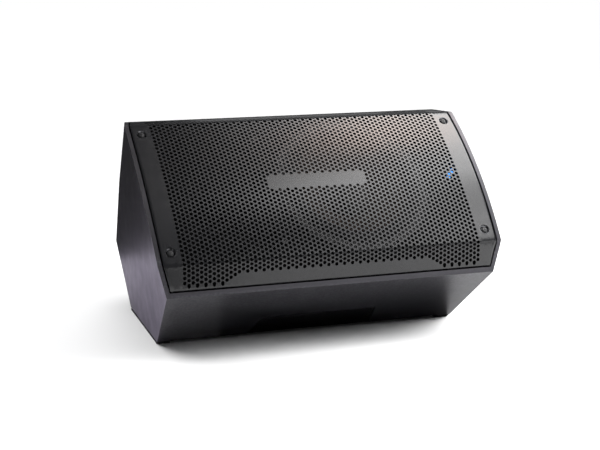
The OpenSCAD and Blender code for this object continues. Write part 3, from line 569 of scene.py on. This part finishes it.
# The grille: a staggered pattern of round holes in a sheet that is curved across the front, folded to
# a facet along each long edge and folded back round its whole outline. Columns of holes run across the
# sheet's length, and rows are counted in pitches from its centre line.
SHEET_T = 1.5 * MM
SHEET_GAP = 6.5 * MM
SHEET_BEND = 1.2 * MM
SHEET_RETURN = 8 * MM
PITCH = 6 * MM
COLUMN_STEP = PITCH * math.sqrt(3) / 2
HOLE_R = 2.25 * MM
HOLE_COLUMNS = 37
SHORT_ROWS = 20
LONG_ROWS = 22
SHORT_COLUMNS = 23
PATCH_COLUMNS = 12
PATCH_ROWS = 1.6
FOLD_SOFTNESS = 2 * MM
FACET_SHIFT = 1.5 * MM
SCREW_HOLE_R = 6.6 * MM
SCREW_CLEAR = 4 * MM
SCREW_REACH = 16 * MM
SCREW_X = 206 * MM
SCREW_U = 88 * MM
SPOKES = 12
SPARE_COLUMNS = 6
SPARE_ROWS = 2
PROFILE_SPARE = 6 * MM
TOUCH = 0.002 * MM

# The cabinet's outline along its length, as (depth behind the crown, half length), and how much the two
# side walls close in with depth
PLAN = [(0.0, 226 * MM), (9.2 * MM, 224.8 * MM), (EDGE_DEPTH, 214.5 * MM), (297.5 * MM, 187 * MM)]
LOWER_WALL_SLOPE = -13.1 / 122.6
UPPER_WALL_SLOPE = 1.4 / 127.6

reach = FRONT_RADIUS + FRONT_FLAT
FOLD_U = (reach - math.sqrt(2 * FRONT_RADIUS**2 - reach**2)) / 2
FOLD_S = FRONT_RADIUS * math.asin(FOLD_U / FRONT_RADIUS)
SHEET_S = FOLD_S + (FRONT_HALF - SHEET_GAP - FOLD_U) * math.sqrt(2)
SCREW_S = FRONT_RADIUS * math.asin(SCREW_U / FRONT_RADIUS)


def smooth_step(low, high, value):
    t = min(max((value - low) / (high - low), 0), 1)
    return t * t * (3 - 2 * t)


def sheet_profile(step=0.25 * MM):
    """The sheet's cross-section from its crown: (u, d) at every step along it."""
    points = [(0.0, 0.0)]
    count = int((SHEET_S + PROFILE_SPARE) / step)
    for k in range(count):
        s = (k + 0.5) * step
        curve = min(s, FOLD_S) / FRONT_RADIUS
        turn = smooth_step(FOLD_S - FOLD_SOFTNESS, FOLD_S + FOLD_SOFTNESS, s)
        heading = curve + (math.radians(45) - curve) * turn
        u, d = points[-1]
        points.append((u + step * math.cos(heading), d + step * math.sin(heading)))
    return points, step


PROFILE, PROFILE_STEP = sheet_profile()


def on_sheet(s):
    """(u, d) of the sheet's face at distance s from its crown."""
    place = abs(s) / PROFILE_STEP
    k = min(int(place), len(PROFILE) - 2)
    share = place - k
    u = PROFILE[k][0] + (PROFILE[k + 1][0] - PROFILE[k][0]) * share
    d = PROFILE[k][1] + (PROFILE[k + 1][1] - PROFILE[k][1]) * share
    return math.copysign(u, s), d


def sheet_end(d):
    """Half length of the sheet at depth d, measured square to the end panel."""
    for (d0, x0), (d1, x1) in zip(PLAN, PLAN[1:]):
        if d <= d1 or d1 == PLAN[-1][0]:
            slope = (x1 - x0) / (d1 - d0)
            return x0 + slope * (d - d0) - SHEET_GAP * math.sqrt(1 + slope * slope)
    return x1


def sheet_side(d, lower):
    """Half width of the sheet's folded edge at depth d, below or above the centre line."""
    slope = LOWER_WALL_SLOPE if lower else UPPER_WALL_SLOPE
    return FRONT_HALF + slope * (d - EDGE_DEPTH) - SHEET_GAP * math.sqrt(1 + slope * slope)


def is_hole(column, row):
    """Whether the pattern has a hole there; the rows of odd columns are halves."""
    if abs(column) > HOLE_COLUMNS:
        return False
    if abs(column) <= PATCH_COLUMNS and abs(row) <= PATCH_ROWS:
        return False
    limit = min(LONG_ROWS, max(SHORT_ROWS, SHORT_ROWS + (abs(column) - SHORT_COLUMNS) / 2))
    return abs(row) <= limit


def flat_cells():
    """The sheet laid flat: one six-sided cell for each hole of the pattern, in x and s."""
    corner = [math.radians(360 * i / SPOKES) for i in range(SPOKES)]
    outer_r = [PITCH / math.sqrt(3) if i % 2 == 0 else PITCH / 2 for i in range(SPOKES)]
    verts, faces = [], []
    columns = HOLE_COLUMNS + SPARE_COLUMNS
    rows = LONG_ROWS + SPARE_ROWS
    for column in range(-columns, columns + 1):
        for k in range(-rows, rows + 1):
            row = k + 0.5 * (column % 2)
            x, s = column * COLUMN_STEP, row * PITCH
            if math.hypot(abs(x) - SCREW_X, abs(s) - SCREW_S) < SCREW_HOLE_R + SCREW_CLEAR:
                continue
            first = len(verts)
            verts += [(x + r * math.cos(a), s + r * math.sin(a), 0) for a, r in zip(corner, outer_r)]
            if is_hole(column, row):
                verts += [(x + HOLE_R * math.cos(a), s + HOLE_R * math.sin(a), 0) for a in corner]
                for i in range(SPOKES):
                    j = (i + 1) % SPOKES
                    faces.append((first + i, first + j, first + SPOKES + j, first + SPOKES + i))
            else:
                faces.append(tuple(range(first, first + SPOKES)))
    return verts, faces


def fill_round_screws(form):
    """Closes the gaps left round the four screws, each with a round hole in it."""
    sides = 2 * SPOKES
    for sx in (-1, 1):
        for ss in (-1, 1):
            centre = Vector((sx * SCREW_X, ss * SCREW_S, 0))
            rim = [e for e in form.edges if e.is_boundary
                   and all((v.co - centre).length < SCREW_REACH for v in e.verts)]
            ring = []
            for i in range(sides):
                a = math.radians(360 * i / sides)
                ring.append(form.verts.new(centre + SCREW_HOLE_R * Vector((math.cos(a), math.sin(a), 0))))
            circle = [form.edges.new((ring[i], ring[(i + 1) % sides])) for i in range(sides)]
            bmesh.ops.triangle_fill(form, use_beauty=True, edges=rim + circle, normal=(0, 0, 1))


def outline_cuts():
    """Lines that bound the flat sheet, as (point, outward direction)."""
    inner = SHEET_S - SHEET_BEND
    cuts = [(Vector((0, s * inner, 0)), Vector((0, s, 0))) for s in (-1, 1)]
    stations = [0, FOLD_S / 2, FOLD_S, SHEET_S]
    ends = [sheet_end(on_sheet(s)[1]) - SHEET_BEND for s in stations]
    for k in range(len(stations) - 1):
        run = stations[k + 1] - stations[k]
        fall = ends[k] - ends[k + 1]
        for sx in (-1, 1):
            for ss in (-1, 1):
                point = Vector((sx * ends[k], ss * stations[k], 0))
                cuts.append((point, Vector((sx * run, ss * fall, 0)).normalized()))
    return cuts


def fold_back(form, cuts):
    """Bends the outline of the flat sheet back: z holds the depth behind the sheet's face."""
    def touching(vert):
        return [normal for point, normal in cuts if abs((vert.co - point).dot(normal)) < TOUCH]

    def outward(vert):
        normals = touching(vert)
        first = normals[0]
        other = [n for n in normals if n.dot(first) < 0.5]
        if other:
            return first + other[0]
        return sum(normals, Vector()).normalized()

    rim = [e for e in form.edges if e.is_boundary and all(touching(v) for v in e.verts)]
    rim_verts = {v for e in rim for v in e.verts}
    ways = {v: outward(v) for v in rim_verts}
    bend = math.sqrt(0.5)
    rings = [(bend, 1 - bend), (1, 1), (1, SHEET_RETURN / SHEET_BEND)]
    start = {v: v.co.copy() for v in rim_verts}
    for out, deep in rings:
        grown = bmesh.ops.extrude_edge_only(form, edges=rim)["geom"]
        rim = [g for g in grown if isinstance(g, bmesh.types.BMEdge) and g.is_boundary]
        partner = {}
        for edge in [g for g in grown if isinstance(g, bmesh.types.BMFace)]:
            for e in edge.edges:
                a, b = e.verts
                if a in ways and b not in ways:
                    partner[b] = a
                elif b in ways and a not in ways:
                    partner[a] = b
        new_ways, new_start = {}, {}
        for fresh, old in partner.items():
            new_ways[fresh], new_start[fresh] = ways[old], start[old]
            flat = start[old] + ways[old] * (out * SHEET_BEND)
            fresh.co = Vector((flat.x, flat.y, deep * SHEET_BEND))
        ways, start = new_ways, new_start


def bend_to_front(vert):
    """Takes a point of the flat sheet to its place on the cabinet's front."""
    x, s, deep = vert.co
    past_fold = smooth_step(FOLD_S, FOLD_S + 2 * PITCH, abs(s))
    before_edge = 1 - smooth_step(SHEET_S - 3 * MM, SHEET_S - 2 * MM, abs(s))
    shift = FACET_SHIFT * past_fold * before_edge
    u, d = on_sheet(s - math.copysign(shift, s))
    d += deep
    end = sheet_end(d)
    side = sheet_side(d, u > 0)
    vert.co = at(min(max(x, -end), end), min(max(u, -side), side), d)


def make_grille():
    """The perforated sheet, made flat, bent to the front and given its thickness."""
    verts, faces = flat_cells()
    mesh = bpy.data.meshes.new("grille_sheet")
    mesh.from_pydata(verts, [], faces)
    form = bmesh.new()
    form.from_mesh(mesh)
    bmesh.ops.remove_doubles(form, verts=form.verts, dist=0.01 * MM)
    fill_round_screws(form)
    cuts = outline_cuts()
    for point, normal in cuts:
        everything = list(form.verts) + list(form.edges) + list(form.faces)
        bmesh.ops.bisect_plane(form, geom=everything, dist=0.001 * MM, plane_co=point, plane_no=normal,
                               clear_outer=True)
    fold_back(form, cuts)
    for vert in form.verts:
        bend_to_front(vert)
    bmesh.ops.recalc_face_normals(form, faces=form.faces)
    face = max(form.faces, key=lambda f: f.calc_center_median().z)
    if face.normal.z < 0:
        bmesh.ops.reverse_faces(form, faces=form.faces)
    form.to_mesh(mesh)
    form.free()
    rough = bpy.data.objects.new("grille_rough", mesh)
    bpy.context.scene.collection.objects.link(rough)
    thick = rough.modifiers.new("thickness", "SOLIDIFY")
    thick.thickness = SHEET_T
    thick.offset = -1
    thick.use_even_offset = True
    solid = bpy.data.meshes.new_from_object(rough.evaluated_get(bpy.context.evaluated_depsgraph_get()))
    bpy.data.objects.remove(rough)
    piece = finished("grille_sheet", solid, "grille_paint", "cabinet")
    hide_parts("grille")


# ---------------------------------------------------------------- putting it together

SHELL_EDGE = 1.3 * MM
SHELL_SHORTEST = 1.0 * MM

bpy.context.scene.view_settings.view_transform = "Standard"
add_camera()
add_floor()
add_cards()
add_lights()
materials.update(make_materials())
dress_cad_nodes()
softened("cabinet_shell", SHELL_EDGE, shortest=SHELL_SHORTEST)
for node, width in EDGE_WIDTHS.items():
    softened(node, width)
make_grille()
